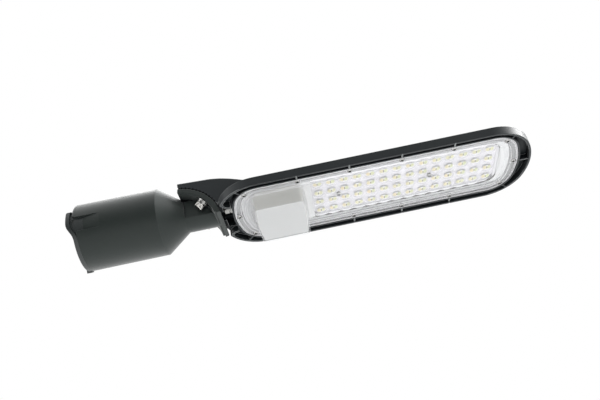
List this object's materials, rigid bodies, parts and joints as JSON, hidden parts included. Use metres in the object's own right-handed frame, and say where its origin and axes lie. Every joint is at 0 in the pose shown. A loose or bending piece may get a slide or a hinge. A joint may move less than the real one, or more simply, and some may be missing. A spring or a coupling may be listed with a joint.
{
  "type": "led street light head",
  "caption": "LED street light head: long shallow casting with a clear cover over rows of lenses and a driver bump, on a toothed tilting pole socket.",
  "frame": {"origin": "centre of the pole socket's floor, on the socket's axis, where the end of the pole stops", "axes": "+X from the socket along the head to its tip, +Z to the sky, light leaves towards -Z"},
  "size_m": [0.4788, 0.11, 0.0716],
  "materials": {
    "coated_casting": "satin",
    "collar": "matte",
    "bright_steel": "satin",
    "seal_rubber": "matte",
    "silicone": "matte",
    "clear_plastic": "clear",
    "white_plastic": "matte",
    "white_board": "satin",
    "led_phosphor": "gloss",
    "green_board": "satin",
    "core": "matte",
    "can": "satin",
    "nickel": "satin",
    "lead_sleeve": "satin"
  },
  "bodies": {
    "arm": {"arm_socket": "coated_casting", "socket_collar": "collar", "set_screws": "bright_steel"},
    "head": {"head_housing": "coated_casting", "clamp_bolts": "bright_steel", "spring_washers": "bright_steel", "flat_washers": "bright_steel", "cover_gasket": "silicone", "clear_cover": "clear_plastic", "cover_screws": "bright_steel", "reflector_tray": "white_plastic", "led_board": "white_board", "led_chips": "led_phosphor", "lens_plate": "clear_plastic", "lens_screws": "bright_steel", "driver_case": "white_plastic", "driver_board": "green_board", "driver_transformer": "core", "driver_capacitors": "can", "driver_screws": "bright_steel", "gland_body": "nickel", "gland_nut": "nickel", "gland_seal": "seal_rubber", "terminal_block": "white_plastic", "terminal_screws": "bright_steel", "mains_leads": "lead_sleeve"}
  },
  "joints": [
    {"name": "tilt", "type": "hinge", "parent": "arm", "child": "head", "pos_m": [0.0225, 0, -0.02615], "axis": [0, 1, 0], "range_deg": [-5, 15]}
  ]
}
